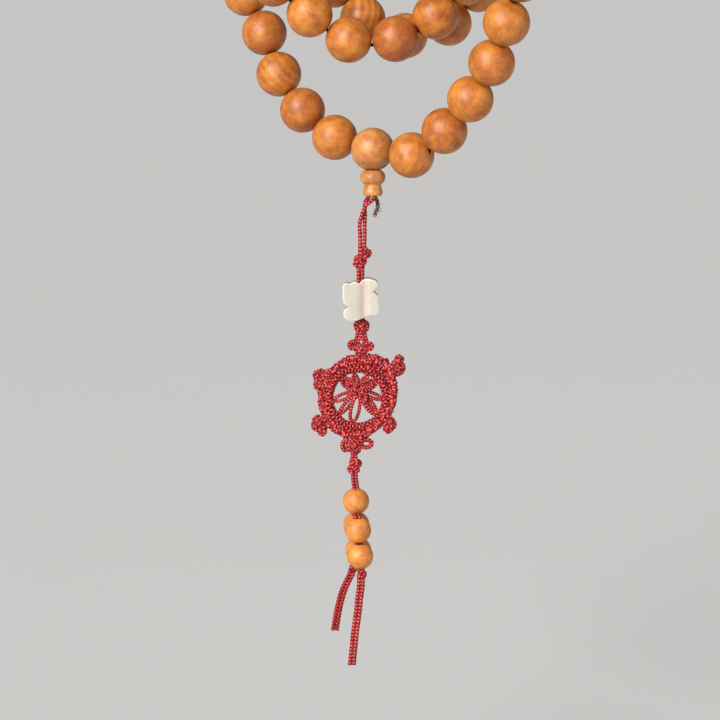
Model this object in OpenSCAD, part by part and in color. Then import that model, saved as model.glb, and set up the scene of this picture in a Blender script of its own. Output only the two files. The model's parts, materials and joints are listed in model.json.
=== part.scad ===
// A string of 108 prayer beads wrapped in three loops over a rounded support, with a
// guru bead and a knotted pendant. The origin is the crest of the support, where the
// three passes of beads rest; +X is to the right and +Y is to the back.

/* [Main beads] */
// Diameter of a main bead
bead_d = 12; // [11:0.1:12]
// Free play between two beads on the string
bead_play = 0.12; // [0.1:0.02:0.2]
// Diameter of the bore through a main bead
bore_d = 2; // [1.8:0.1:2.4]
// Diameter of the string through the main beads
string_d = 0.9; // [0.7:0.1:0.9]

/* [Drape] */
// Radius of the rounded support that the beads hang over
support_r = 44; // [42:1:46]
// Distance between two passes of beads along the support
pass_gap = 30; // [26:1:32]
// Height from the guru bead up to the middle of the support
guru_drop = 140; // [136:0.5:145]
// Height of the two inner loops above the guru bead
inner_rise = 28.7; // [28:0.1:29.5]

/* [Guru bead] */
// Diameter of the guru bead
guru_d = 11.4; // [11:0.1:11.6]
// Diameter of the hole down through the guru bead and its tower
guru_hole_d = 3.2; // [3:0.1:3.4]
// Widest diameter of the turned tower under the guru bead
tower_d = 6.8; // [6.6:0.1:7.2]

/* [Pendant] */
// Diameter of the braided red cord
cord_d = 1; // [0.8:0.1:1]
// Width of the four-lobed stone bead
stone_w = 9.9; // [9.6:0.1:10.2]
// Height of the stone bead
stone_h = 11.5; // [11.2:0.1:11.8]
// Thickness of the stone bead, front to back
stone_t = 7.4; // [6.8:0.2:8]
// Radius of the middle of the wheel's wrapped rim
rim_r = 7.6; // [7.4:0.1:7.8]
// Diameter of the wrapped rim's cord bundle
rim_d = 2.7; // [2.5:0.1:2.8]
// Diameter of a small bead
small_d = 6.8; // [6.4:0.1:6.8]

/* [Hidden] */
$fn = 48;
cord_sides = 8;
pitch = bead_d + bead_play;
small_bore_d = 3.2;
string_gap = 0.35;
arch_r = support_r + bead_d / 2;
arch_z = -support_r;
guru = [-3, 0, arch_z - guru_drop];
tower_base_z = guru.z - 12.15;
wood = [0.80, 0.50, 0.24];
pale_wood = [0.82, 0.57, 0.33];
red = [0.72, 0.14, 0.20];
dark = [0.16, 0.10, 0.08];
ivory = [0.90, 0.87, 0.80];

// Rise above level and turn out of the XZ plane of each link, from the guru bead outward
right_rise = [-6, 32, 43, 50, 57];
right_turn = [33, 35, 43, 48, 58];
left_rise = [15, 36, 52, 65, 60];
left_turn = [31, 29, 31, 40, 34];
// The front inner loop is laid out from its second bead, the back one from its third
front_start = [-9.3, -8.5, guru.z + inner_rise];
front_rise = [1, 29, 47];
front_turn = [2, -10, -18];
back_start = [5.5, 5, guru.z + inner_rise + 1.2];
back_rise = [16, 47];
back_turn = [-4, -18];

function unit(v) = v / norm(v);
function toward(side, rise, turn) =
    [side * cos(rise) * cos(turn), -side * cos(rise) * sin(turn), sin(rise)];
function links(side, rise, turn) = [for (i = [0:len(rise) - 1]) toward(side, rise[i], turn[i])];
function chain(p, dirs, i = 0) =
    i == len(dirs) ? [p] : concat([p], chain(p + pitch * dirs[i], dirs, i + 1));
function tail(list) = [for (i = [1:len(list) - 1]) list[i]];
function reversed(list) = [for (i = [len(list) - 1:-1:0]) list[i]];

right_chain = tail(chain(guru, links(1, right_rise, right_turn)));
left_chain = tail(chain(guru, links(-1, left_rise, left_turn)));
front_chain = concat(
    [front_start + pitch * toward(-1, 33, -5)],
    chain(front_start, links(1, front_rise, front_turn)));
back_left_1 = back_start + pitch * toward(-1, 22, 8);
back_chain = concat(
    [back_left_1 + pitch * toward(-1, 47, 25), back_left_1],
    chain(back_start, links(1, back_rise, back_turn)));

// One pass over the support, from a chain's end up the right, over, and down the left
function bezier(a, b, c, d, t) =
    pow(1 - t, 3) * a + 3 * t * pow(1 - t, 2) * b + 3 * t * t * (1 - t) * c + pow(t, 3) * d;
function leg(p, dir, q, steps = 16) =
    let (reach = norm(q - p))
    [for (i = [0:steps]) bezier(p, p + 0.3 * reach * dir, q - [0, 0, 0.42 * reach], q, i / steps)];
function end_dir(list) = unit(list[len(list) - 1] - list[len(list) - 2]);
function pass_path(from, to, y) =
    let (start = from[len(from) - 1])
    concat(
        leg(start, end_dir(from), [arch_r, y, arch_z]),
        [for (a = [10:10:170]) [arch_r * cos(a), y, arch_z + arch_r * sin(a)]],
        reversed(leg(to[0], unit(to[0] - to[1]), [-arch_r, y, arch_z])));
function distances(path) =
    [for (i = 0, s = 0; i < len(path);
        i = i + 1, s = i < len(path) ? s + norm(path[i] - path[i - 1]) : s) s];
function point_at(path, along, s) =
    [for (k = [0:2]) lookup(s, [for (i = [0:len(path) - 1]) [along[i], path[i][k]]])];
function strung(path) =
    let (
        along = distances(path),
        length = along[len(along) - 1],
        count = floor(length / pitch)
    )
    [for (i = [1:count - 1]) point_at(path, along, i * length / count)];

pass_1 = strung(pass_path(right_chain, front_chain, -pass_gap));
pass_2 = strung(pass_path(front_chain, back_chain, 0));
pass_3 = strung(pass_path(back_chain, reversed(left_chain), pass_gap));
string_of_beads =
    concat([guru], right_chain, pass_1, front_chain, pass_2, back_chain, pass_3, reversed(left_chain));
bead_total = len(string_of_beads);
function bead_at(i) = string_of_beads[(i + bead_total) % bead_total];
function bore_axis(i) =
    unit(unit(bead_at(i + 1) - bead_at(i)) + unit(bead_at(i) - bead_at(i - 1)));

// Where each run of beads starts along the string
right_at = 1;
pass_1_at = right_at + len(right_chain);
front_at = pass_1_at + len(pass_1);
pass_2_at = front_at + len(front_chain);
back_at = pass_2_at + len(pass_2);
pass_3_at = back_at + len(back_chain);
left_at = pass_3_at + len(pass_3);
function over(i) = bead_at(i).z > arch_z;
function run(from, to) = [for (i = [from:to - 1]) i];
function arch_of(from, to) = [for (i = run(from, to)) if (over(i)) i];
function legs_of(from, to, side) =
    [for (i = run(from, to)) if (!over(i) && side * bead_at(i).x > 0) i];

arch_1 = arch_of(pass_1_at, front_at);
arch_3 = arch_of(pass_3_at, left_at);
// The guru loop swings about the line through these two points between beads
swing_right = (bead_at(arch_1[0] - 1) + bead_at(arch_1[0])) / 2;
swing_left = (bead_at(arch_3[len(arch_3) - 1]) + bead_at(arch_3[len(arch_3) - 1] + 1)) / 2;

// A tube swept along points, with a ring of corners at each
function heading(pts, i) = unit(pts[min(i + 1, len(pts) - 1)] - pts[max(i - 1, 0)]);
function ring(p, dir, side, r) =
    let (u = unit(cross(dir, side)), v = cross(dir, u))
    [for (k = [0:cord_sides - 1])
        p + r * (cos(360 * k / cord_sides) * u + sin(360 * k / cord_sides) * v)];
module tube(pts, d, side) {
    count = len(pts);
    corners = [for (i = [0:count - 1]) each ring(pts[i], heading(pts, i), side, d / 2)];
    walls = [for (i = [0:count - 2], k = [0:cord_sides - 1])
        let (a = i * cord_sides, next = (k + 1) % cord_sides)
        [a + k, a + cord_sides + k, a + cord_sides + next, a + next]];
    first_cap = [for (k = [0:cord_sides - 1]) k];
    last_cap = [for (k = [cord_sides - 1:-1:0]) (count - 1) * cord_sides + k];
    polyhedron(points = corners, faces = concat(walls, [first_cap, last_cap]), convexity = 10);
}

// The string through a run of beads, straight in each bore and bent between beads
function bore_ends(i) =
    let (half = (i % bead_total == 0 ? guru_d : bead_d) / 2 - 0.6)
    [bead_at(i) - half * bore_axis(i), bead_at(i) + half * bore_axis(i)];
function string_run(from, to) = [for (i = [from:to]) each bore_ends(i)];

module aligned(p, dir) {
    translate(p)
        rotate([0, acos(dir.z), atan2(dir.y, dir.x)])
            children();
}

// A turned bead with a bore and a small countersink at each end
module bead(p, dir, d, hole) {
    aligned(p, dir)
        difference() {
            sphere(d = d);
            cylinder(d = hole, h = d + 2, center = true);
            for (end = [0, 180])
                rotate([end, 0, 0])
                    translate([0, 0, sqrt(d * d - hole * hole) / 2 - 0.25])
                        cylinder(d1 = hole, d2 = hole + 1.6, h = 0.8);
        }
}
module string_bead(i) {
    color(wood)
        bead(bead_at(i), bore_axis(i), bead_d, bore_d);
}
module beads(list) {
    for (i = list)
        string_bead(i);
}

module draped_string() {
    first = arch_1[0];
    last = arch_3[len(arch_3) - 1];
    color(dark)
        tube(concat([swing_right + string_gap * bore_axis(first)], string_run(first, last),
            [swing_left - string_gap * bore_axis(last)]), string_d, [0, 1, 0]);
}

module guru_loop_string() {
    first = arch_3[len(arch_3) - 1] + 1;
    last = arch_1[0] - 1 + bead_total;
    color(dark)
        tube(concat([swing_left + string_gap * bore_axis(first)], string_run(first, last),
            [swing_right - string_gap * bore_axis(last)]), string_d, [0, 1, 0]);
}

// Three cords go down through the guru bead and its tower, twisted once round each other
inner_r = 1.05;
inner_turn = 105;
function twisted(start_angle) =
    [for (k = [0:4])
        let (a = start_angle - inner_turn * k / 4)
        [inner_r * cos(a), inner_r * sin(a), -2.6 - 2.3 * k]];

// The melted end of the string, brought down and out behind the red cords
string_end_path = concat([[-0.3, 0.2, -1.1]], twisted(150),
    [[1, 0.9, -13.2], [1.4, 1, -14.6], [1, 1, -16], [0.5, 0.9, -17.4]]);
module string_end() {
    color(dark)
        tube([for (p = string_end_path) guru + p], string_d, [0, 1, 0]);
}

module guru_bead() {
    color(pale_wood)
        difference() {
            bead(guru, bore_axis(0), guru_d, bore_d);
            translate(guru + [0, 0, -guru_d])
                cylinder(d = guru_hole_d, h = guru_d);
            translate(guru)
                sphere(d = guru_hole_d + 0.6);
        }
}

// Ring, waist and flared foot of the tower, turned as one piece
module guru_tower() {
    ring_r = tower_d / 2;
    color(pale_wood)
        translate([guru.x, guru.y, tower_base_z])
            difference() {
                rotate_extrude() {
                    translate([ring_r - 1.7, 5])
                        circle(r = 1.7);
                    translate([0.9, 3.3])
                        square([ring_r - 2.6, 3.4]);
                    polygon([[0.9, 0.3], [2.45, 0.3], [2.65, 1], [2.45, 1.8], [2.25, 2.5], [2.3, 3.5],
                        [0.9, 3.5]]);
                    translate([0.9, 0])
                        square([1.3, 0.4]);
                }
                translate([0, 0, -1])
                    cylinder(d = guru_hole_d, h = 12);
                translate([0, 0, guru.z - tower_base_z])
                    sphere(r = guru_d / 2 + 0.05);
            }
}

// Middle of each pendant piece, measured from the guru bead
pendant_pivot = guru + [-2.1, 0, -15.2];
knot_1_at = guru + [-2.9, 0, -28.6];
stone_at = guru + [-3.2, 0, -39.2];
knot_2_at = guru + [-3, 0, -46.7];
upper_ear_at = guru + [-3.1, 0, -52.6];
wheel_at = guru + [-4, 0, -65.5];
lower_ear_at = guru + [-4.9, 0, -78.1];
knot_3_at = guru + [-4.9, 0, -83.8];
small_top_at = guru + [-4.4, 0, -93.1];
small_front_1_at = guru + [-3.9, -3.6, -100.4];
small_front_2_at = guru + [-3.3, -3.8, -107.3];
small_back_1_at = guru + [-4.3, 3.6, -99.9];
small_back_2_at = guru + [-3.8, 3.8, -106.8];
front_knot_at = guru + [-3, -3.8, -112.2];
back_knot_at = guru + [-5.2, 3.6, -111.5];

// The red cord doubled over the string inside the guru bead, down to the pivot
cord_loop_path = concat(
    [[-2.1, 0.5, -14.9], [-1.9, 0.4, -13.6], [-1.2, 0.2, -12.6]], reversed(twisted(240)),
    [[-0.5, -0.85, 0.3], [-0.28, -0.5, 1], [0, 0, 1.2], [0.28, 0.5, 1], [0.5, 0.85, 0.3]],
    twisted(60),
    [[0.4, -0.8, -12.6], [-0.4, -0.8, -13.4], [-1.4, -0.7, -14.2], [-2, -0.55, -14.9]]);
module cord_loop() {
    color(red)
        tube([for (p = cord_loop_path) guru + p], cord_d, [0, 1, 0]);
}

// The two free cords of the pendant, from the pivot through the first knot and the stone
behind_cord_path = [[-2.1, 0.5, -15.5], [-2, 0.4, -17], [-2.1, 0.2, -19.5], [-2.1, 0, -22.5],
    [-2.2, 0, -25.5], [-2.4, 0.1, -28.5], [-2.7, 0, -31.5], [-2.7, 0, -34.5], [-2.7, 0, -37.5],
    [-2.7, 0, -40.5], [-2.6, 0, -43.5], [-2.5, 0, -46.6]];
crossing_cord_path = [[-2.2, -0.5, -15.5], [-2.8, -0.5, -17], [-3.4, -0.3, -19.5], [-3.3, -0.1, -22.5],
    [-3.3, 0, -25.5], [-3.4, -0.1, -28.5], [-3.7, 0, -31.5], [-3.7, 0, -34.5], [-3.7, 0, -37.5],
    [-3.7, 0, -40.5], [-3.6, 0, -43.5], [-3.5, 0, -46.6]];
module behind_cord() {
    color(red)
        tube([for (p = behind_cord_path) guru + p], cord_d, [0, 1, 0]);
}
module crossing_cord() {
    color(red)
        tube([for (p = crossing_cord_path) guru + p], cord_d, [0, 1, 0]);
}

// A tied knot: a squat ball with a waist wrap leaning across it
module knot(p, w, h, lean) {
    color(red)
        translate(p) {
            scale([w * 0.45, w * 0.42, h / 2])
                sphere(r = 1);
            rotate([0, lean, 0])
                rotate_extrude()
                    translate([w / 2 - 0.55, 0])
                        circle(d = 1.1);
        }
}
module knot_1() {
    knot(knot_1_at, 4.5, 6, -32);
}
module knot_2() {
    knot(knot_2_at, 4.5, 3.2, 12);
}
module knot_3() {
    knot(knot_3_at, 4.5, 4, 20);
}
module front_knot() {
    knot(front_knot_at, 2.9, 2.5, 15);
}
module back_knot() {
    knot(back_knot_at, 2.6, 2.3, -15);
}

// Stone bead: four rounded lobes in a pinwheel, parted by a short slot on each side
module lobe(x1, z1, x2, z2, r = 1.1) {
    for (x = [x1 + r, x2 - r], z = [z1 + r, z2 - r])
        translate([x, z])
            circle(r = r);
    translate([x1 + r, z1])
        square([x2 - x1 - 2 * r, z2 - z1]);
    translate([x1, z1 + r])
        square([x2 - x1, z2 - z1 - 2 * r]);
}
module stone_outline() {
    w = stone_w / 2;
    h = stone_h / 2;
    translate([-3.2, -3.4])
        square([6.4, 6.8]);
    lobe(-w, -1, -0.4, h - 1.3);
    lobe(-0.9, h - 3.4, w - 0.2, h);
    lobe(0.4, 1 - h + 0.3, w, 1);
    lobe(0.2 - w, -h, 0.9, 3.4 - h);
    for (turn = [0, 180])
        rotate(turn) {
            translate([-w + 0.1, -2.6])
                square([2, 1.2]);
        }
}
module stone_bead() {
    notch_w = 0.7;
    color(ivory)
        translate(stone_at)
            difference() {
                rotate([90, 0, 0])
                    linear_extrude(height = stone_t, center = true)
                        difference() {
                            stone_outline();
                            for (turn = [0, 180])
                                rotate(turn) {
                                    translate([-stone_w / 2 - 1, -2.05 - notch_w / 2])
                                        square([2.8, notch_w]);
                                    translate([-stone_w / 2 + 1.8, -2.05])
                                        circle(d = notch_w);
                                }
                        }
                cylinder(d = 2.6, h = stone_h + 2, center = true);
            }
}

// Two doubled cords from the second knot into the knot with two ears above the wheel
module ear_knot(p, left_ear, right_ear, body_w) {
    translate(p) {
        for (x = [-0.5, 0.5], z = [-1.1, 1.1])
            translate([x * (body_w - 2.8), 0, z])
                sphere(r = 1.4);
        for (ear = [left_ear, right_ear])
            translate(ear)
                rotate([90, 0, 0])
                    rotate_extrude()
                        translate([1.15, 0])
                            circle(d = 1.1);
    }
}
module upper_ear_knot() {
    color(red) {
        ear_knot(upper_ear_at, [-2.2, 0, 1.1], [2.2, 0, 1], 3.8);
        for (side = [-1, 1])
            tube([knot_2_at + [side * 0.5, 0, -1.9], knot_2_at + [side * 0.9, 0, -3.5],
                upper_ear_at + [side * 1.4, 0, 0.6]], 1.6, [0, 1, 0]);
    }
}
module lower_ear_knot() {
    color(red)
        ear_knot(lower_ear_at, [-3, 0, -0.5], [3.2, 0, 0], 4.2);
}

// The wheel: a wrapped rim, a lace band round it, a flower knot inside, four side knots
module flat_ring(r, d) {
    rotate([90, 0, 0])
        rotate_extrude($fn = 96)
            translate([r, 0])
                circle(d = d);
}
module wheel_rim() {
    color(red)
        translate(wheel_at)
            flat_ring(rim_r, rim_d);
}
module wheel_lace() {
    color(red)
        translate(wheel_at)
            flat_ring(rim_r + 2.1, 1.7);
}
flower_angles = [20, 62, 100, 140, 190, 232, 262, 318];
module wheel_flower() {
    color(red)
        translate(wheel_at) {
            scale([2.5, 1.3, 2.3])
                sphere(r = 1);
            for (a = flower_angles)
                rotate([0, -a, 0])
                    translate([1.5, 0, 0])
                        rotate([0, 90, 0])
                            cylinder(d = 1.5, h = rim_r - rim_d / 2 - 1.3);
        }
}
side_knots = [[10.5, 8.1], [-9.9, 5.2], [-10.3, -7.1], [8.3, -6.9]];
module wheel_side_knots() {
    color(red)
        for (k = side_knots)
            translate(wheel_at + [k.x, 0, k.y])
                rotate([0, -atan2(k.y, k.x), 0])
                    scale([2.3, 1.9, 2.6])
                        sphere(r = 1);
}

// Four cords side by side from the lower ear knot through the third knot and top small bead
lower_offsets = [[-0.52, -0.52], [0.52, -0.52], [-0.52, 0.52], [0.52, 0.52]];
lower_cord_path = [lower_ear_at + [0, 0, -2.95], knot_3_at + [0, 0, 1], knot_3_at + [0, 0, -1],
    knot_3_at + [0.2, 0, -4], small_top_at + [0, 0, 3], small_top_at, small_top_at + [0, 0, -2.9]];
module lower_cords() {
    color(red)
        for (o = lower_offsets)
            tube([for (p = lower_cord_path) p + [o.x, o.y, 0]], cord_d, [0, 1, 0]);
}

// Each lower strand: two cords through two small beads into a small knot
front_strand_path = [[-4.4, -0.8, -96.65], [-4.2, -2, -96.8], [-4, -3.1, -97.4], [-3.9, -3.5, -98.8],
    [-3.8, -3.6, -101.5], [-3.6, -3.7, -104], [-3.4, -3.8, -106.5], [-3.2, -3.8, -109.5],
    [-3, -3.8, -112.2]];
back_strand_path = [[-4.4, 0.8, -96.6], [-4.4, 2, -96.5], [-4.4, 3.15, -96.95], [-4.3, 3.5, -98.4],
    [-4.2, 3.6, -101], [-4.1, 3.7, -103.5], [-3.9, 3.8, -106], [-4, 3.8, -109.7],
    [-5.2, 3.6, -111.5]];
module strand_cords(path) {
    color(red)
        for (side = [-0.52, 0.52])
            tube([for (p = path) guru + p + [side, 0, 0]], cord_d, [1, 0, 0.01]);
}
module front_strand_cords() {
    strand_cords(front_strand_path);
}
module back_strand_cords() {
    strand_cords(back_strand_path);
}

// The two cut tails, each of two cords side by side
front_tail_path = [[-3.1, -3.8, -113.7], [-3.2, -3.8, -116], [-3.6, -3.8, -119], [-3.9, -3.8, -122],
    [-4.3, -3.8, -125], [-4.7, -3.8, -128], [-5, -3.8, -131], [-5.3, -3.8, -134], [-5.5, -3.8, -136.4]];
back_tail_path = [[-5.7, 3.6, -113.2], [-6.6, 3.6, -115], [-7.7, 3.6, -117.4], [-8.5, 3.6, -120],
    [-9.2, 3.6, -123], [-9.7, 3.6, -126], [-10.1, 3.6, -128.4]];
module tail_cord(path, side) {
    color(red)
        tube([for (p = path) guru + p + [side * 0.52, 0, 0]], cord_d, [0, 1, 0]);
}

module small_bead(p, dir) {
    color(wood)
        bead(p, dir, small_d, small_bore_d);
}

single_runs = [["right_bead_", right_at, len(right_chain), 1], ["front_bead_", front_at, 5, 1],
    ["back_bead_", back_at, 5, 1], ["left_bead_", bead_total - 1, len(left_chain), -1]];
group_runs = [
    ["right_leg_beads", legs_of(pass_1_at, front_at, 1)],
    ["left_leg_beads", legs_of(pass_3_at, left_at, -1)],
    ["front_pass_beads", arch_1],
    ["middle_pass_beads", arch_of(pass_2_at, back_at)],
    ["rear_pass_beads", arch_3],
    ["front_loop_leg_beads",
        concat(legs_of(pass_1_at, front_at, -1), legs_of(pass_2_at, back_at, 1))],
    ["back_loop_leg_beads",
        concat(legs_of(pass_2_at, back_at, -1), legs_of(pass_3_at, left_at, 1))]];
small_runs = [["small_bead_top", small_top_at, [0, 0, 1]],
    ["small_bead_front_upper", small_front_1_at, [0, 0, 1]],
    ["small_bead_front_lower", small_front_2_at, [0, 0, 1]],
    ["small_bead_back_upper", small_back_1_at, [0, 0, 1]],
    ["small_bead_back_lower", small_back_2_at, [0, 0, 1]]];

for (run = single_runs, k = [1:run[2]])
    string_bead(run[1] + run[3] * (k - 1));
for (run = group_runs)
    beads(run[1]);
for (run = small_runs)
    small_bead(run[1], run[2]);
draped_string();
guru_loop_string();
string_end();
guru_bead();
guru_tower();
cord_loop();
behind_cord();
crossing_cord();
knot_1();
stone_bead();
knot_2();
upper_ear_knot();
wheel_rim();
wheel_lace();
wheel_flower();
wheel_side_knots();
lower_ear_knot();
knot_3();
lower_cords();
front_strand_cords();
back_strand_cords();
front_knot();
back_knot();
tail_cord(front_tail_path, -1);  // front_tail_left_cord
tail_cord(front_tail_path, 1);  // front_tail_right_cord
tail_cord(back_tail_path, -1);  // back_tail_left_cord
tail_cord(back_tail_path, 1);  // back_tail_right_cord
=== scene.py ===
# Prayer beads in three loops over a support, with a guru bead and a knotted red pendant
import json
import math
import random

import bpy
import numpy as np
from mathutils import Matrix, Vector


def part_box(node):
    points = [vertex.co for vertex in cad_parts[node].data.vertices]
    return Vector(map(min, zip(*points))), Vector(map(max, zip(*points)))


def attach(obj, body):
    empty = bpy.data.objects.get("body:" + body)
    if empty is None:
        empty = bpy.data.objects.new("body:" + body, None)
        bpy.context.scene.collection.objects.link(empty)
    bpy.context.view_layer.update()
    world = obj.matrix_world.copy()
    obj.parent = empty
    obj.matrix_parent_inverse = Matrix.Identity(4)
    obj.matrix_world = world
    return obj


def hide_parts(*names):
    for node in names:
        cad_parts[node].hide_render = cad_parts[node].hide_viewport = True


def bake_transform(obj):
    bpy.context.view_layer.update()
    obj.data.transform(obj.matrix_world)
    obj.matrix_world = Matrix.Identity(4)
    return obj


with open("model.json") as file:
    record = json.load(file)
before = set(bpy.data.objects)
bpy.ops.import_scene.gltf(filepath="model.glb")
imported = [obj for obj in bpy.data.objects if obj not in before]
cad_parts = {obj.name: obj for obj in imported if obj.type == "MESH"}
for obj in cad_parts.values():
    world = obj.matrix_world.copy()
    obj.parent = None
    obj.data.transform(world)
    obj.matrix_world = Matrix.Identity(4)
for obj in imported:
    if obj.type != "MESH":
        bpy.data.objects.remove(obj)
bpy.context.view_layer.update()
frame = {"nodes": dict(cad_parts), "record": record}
mm = 0.001
chance = random.Random(108)
bodies = frame["record"]["behaviour"]["bodies"]
bodyOf = {node: body for body, members in bodies.items() for node in members}
print("frame loaded,", len(bodyOf), "nodes")

guruLook = {"diameter": 11.4, "bore": 1.5}
low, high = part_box("guru_bead")
guru = Vector(((low.x + high.x) / 2, (low.y + high.y) / 2, high.z - guruLook["diameter"] / 2 * mm))


def fromGuru(points):
    return [guru + Vector(p) * mm for p in points]


# Camera, a little above the pendant and square on to it
viewLook = {"aim": (-6.34, 0, -239.5), "raisedBy": 5, "distance": 870, "fieldWidth": 190.4}


def addCamera(look):
    lift = math.radians(look["raisedBy"])
    away = Vector((0, -math.cos(lift), math.sin(lift)))
    data = bpy.data.cameras.new("viewCamera")
    data.sensor_width = 36
    data.lens = data.sensor_width * look["distance"] / look["fieldWidth"]
    data.clip_start = 0.01
    camera = bpy.data.objects.new("viewCamera", data)
    camera.location = (Vector(look["aim"]) + away * look["distance"]) * mm
    camera.rotation_euler = away.to_track_quat("Z", "Y").to_euler()
    bpy.context.scene.collection.objects.link(camera)
    bpy.context.scene.camera = camera


addCamera(viewLook)


# Shader building
def newMaterial(name):
    material = bpy.data.materials.new(name)
    material.use_nodes = True
    return material, material.node_tree, material.node_tree.nodes["Principled BSDF"]


def addNode(tree, kind, inputs=None, **settings):
    node = tree.nodes.new("ShaderNode" + kind)
    for key, value in settings.items():
        setattr(node, key, value)
    for key, value in (inputs or {}).items():
        if isinstance(value, bpy.types.NodeSocket):
            tree.links.new(value, node.inputs[key])
        else:
            node.inputs[key].default_value = value
    return node


def mixColors(tree, amount, first, second, how="MIX"):
    node = addNode(tree, "Mix", data_type="RGBA", blend_type=how)
    for socket, value in ((node.inputs[0], amount), (node.inputs[6], first), (node.inputs[7], second)):
        if isinstance(value, bpy.types.NodeSocket):
            tree.links.new(value, socket)
        elif socket == node.inputs[0]:
            socket.default_value = value
        else:
            socket.default_value = (*value, 1)
    return node.outputs[2]


def rampBetween(tree, amount, stops):
    node = addNode(tree, "ValToRGB", {"Fac": amount})
    ramp = node.color_ramp
    while len(ramp.elements) < len(stops):
        ramp.elements.new(0.5)
    for element, (place, color) in zip(ramp.elements, stops):
        element.position = place
        element.color = (*color, 1)
    return node.outputs["Color"]


def mapRange(tree, value, fromLow, fromHigh, toLow, toHigh):
    sizes = {"Value": value, "From Min": fromLow, "From Max": fromHigh, "To Min": toLow, "To Max": toHigh}
    return addNode(tree, "MapRange", sizes).outputs["Result"]


def calculate(tree, how, first, second):
    node = addNode(tree, "Math", operation=how)
    for socket, value in zip(node.inputs, (first, second)):
        if isinstance(value, bpy.types.NodeSocket):
            tree.links.new(value, socket)
        else:
            socket.default_value = value
    return node.outputs[0]


def stretched(tree, vector, scale):
    return addNode(tree, "Mapping", {"Vector": vector, "Scale": scale}).outputs["Vector"]


# Polished sandalwood: fine streaks and pores along the grain, soft growth rings
beadWoodLook = {
    "light": (0.63, 0.250, 0.034),
    "middle": (0.48, 0.148, 0.017),
    "dark": (0.27, 0.060, 0.007),
    "red": (0.31, 0.062, 0.016),
    "pore": (0.11, 0.024, 0.007),
    "roughness": 0.46,
    "specular": 0.45,
    "coat": 0.1,
    "coatRoughness": 0.32,
    "ringScale": 0.16,
    "bump": 0.22,
}
guruWoodLook = {**beadWoodLook, "light": (0.63, 0.285, 0.076), "middle": (0.50, 0.192, 0.044),
    "dark": (0.31, 0.095, 0.026), "red": (0.36, 0.10, 0.03), "roughness": 0.42, "coat": 0.12}
smallWoodLook = {**beadWoodLook, "light": (0.73, 0.290, 0.058), "middle": (0.58, 0.195, 0.034),
    "dark": (0.38, 0.110, 0.022), "red": (0.42, 0.11, 0.03)}


def woodMaterial(name, look):
    material, tree, surface = newMaterial(name)
    grain = addNode(tree, "Attribute", attribute_name="grain").outputs["Vector"]
    toneVector = addNode(tree, "Attribute", attribute_name="tone").outputs["Vector"]
    tone = addNode(tree, "SeparateXYZ", {"Vector": toneVector})
    streaks = addNode(tree, "TexNoise", {"Vector": stretched(tree, grain, (2.8, 2.8, 0.6)), "Scale": 1.0,
        "Detail": 5.0, "Roughness": 0.62}).outputs["Fac"]
    clouds = addNode(tree, "TexNoise", {"Vector": grain, "Scale": 0.30, "Detail": 3.0}).outputs["Fac"]
    patches = addNode(tree, "TexNoise", {"Vector": stretched(tree, grain, (1, 1, -1)), "Scale": 0.42,
        "Detail": 4.0}).outputs["Fac"]
    fleck = addNode(tree, "TexNoise", {"Vector": stretched(tree, grain, (6, 6, 3.5)), "Scale": 1.0,
        "Detail": 3.0}).outputs["Fac"]
    rings = addNode(tree, "TexWave", {"Vector": stretched(tree, grain, (1, 1, 0.25)),
        "Scale": look["ringScale"], "Distortion": 5.5, "Detail": 2.0, "Detail Scale": 0.35},
        wave_type="RINGS", rings_direction="Z").outputs["Fac"]
    pores = addNode(tree, "TexNoise", {"Vector": stretched(tree, grain, (7.5, 7.5, 0.9)), "Scale": 1.0,
        "Detail": 2.0, "Roughness": 0.7}).outputs["Fac"]
    speckle = addNode(tree, "TexVoronoi", {"Vector": stretched(tree, grain, (3.4, 3.4, 1.5)), "Scale": 1.0,
        "Randomness": 1.0}).outputs["Distance"]
    bands = calculate(tree, "MULTIPLY", mapRange(tree, rings, 0, 1, -0.24, 0.24), tone.outputs["Y"])
    shade = calculate(tree, "ADD", mapRange(tree, streaks, 0.3, 0.7, 0.26, 0.74), bands)
    shade = calculate(tree, "ADD", shade, mapRange(tree, clouds, 0.3, 0.7, -0.36, 0.36))
    shade = calculate(tree, "ADD", shade, mapRange(tree, fleck, 0.3, 0.7, -0.2, 0.2))
    shade = calculate(tree, "ADD", shade, tone.outputs["X"])
    color = rampBetween(tree, shade, ((0.0, look["dark"]), (0.5, look["middle"]), (1.0, look["light"])))
    redness = calculate(tree, "MULTIPLY", tone.outputs["Z"], mapRange(tree, patches, 0.35, 0.65, 0.15, 1.5))
    color = mixColors(tree, redness, color, look["red"])
    poreDepth = mapRange(tree, pores, 0.56, 0.74, 0, 0.62)
    color = mixColors(tree, poreDepth, color, look["pore"])
    dotDepth = mapRange(tree, speckle, 0.16, 0.03, 0, 0.45)
    color = mixColors(tree, dotDepth, color, look["pore"])
    tree.links.new(color, surface.inputs["Base Color"])
    rough = mapRange(tree, streaks, 0.3, 0.7, look["roughness"] + 0.07, look["roughness"] - 0.05)
    tree.links.new(rough, surface.inputs["Roughness"])
    surface.inputs["Coat Weight"].default_value = look["coat"]
    surface.inputs["Coat Roughness"].default_value = look["coatRoughness"]
    surface.inputs["Specular IOR Level"].default_value = look["specular"]
    height = calculate(tree, "SUBTRACT", mapRange(tree, streaks, 0.3, 0.7, 0, 0.5), poreDepth)
    bump = addNode(tree, "Bump", {"Height": height, "Strength": look["bump"], "Distance": 0.00008})
    tree.links.new(bump.outputs["Normal"], surface.inputs["Normal"])
    return material


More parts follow.
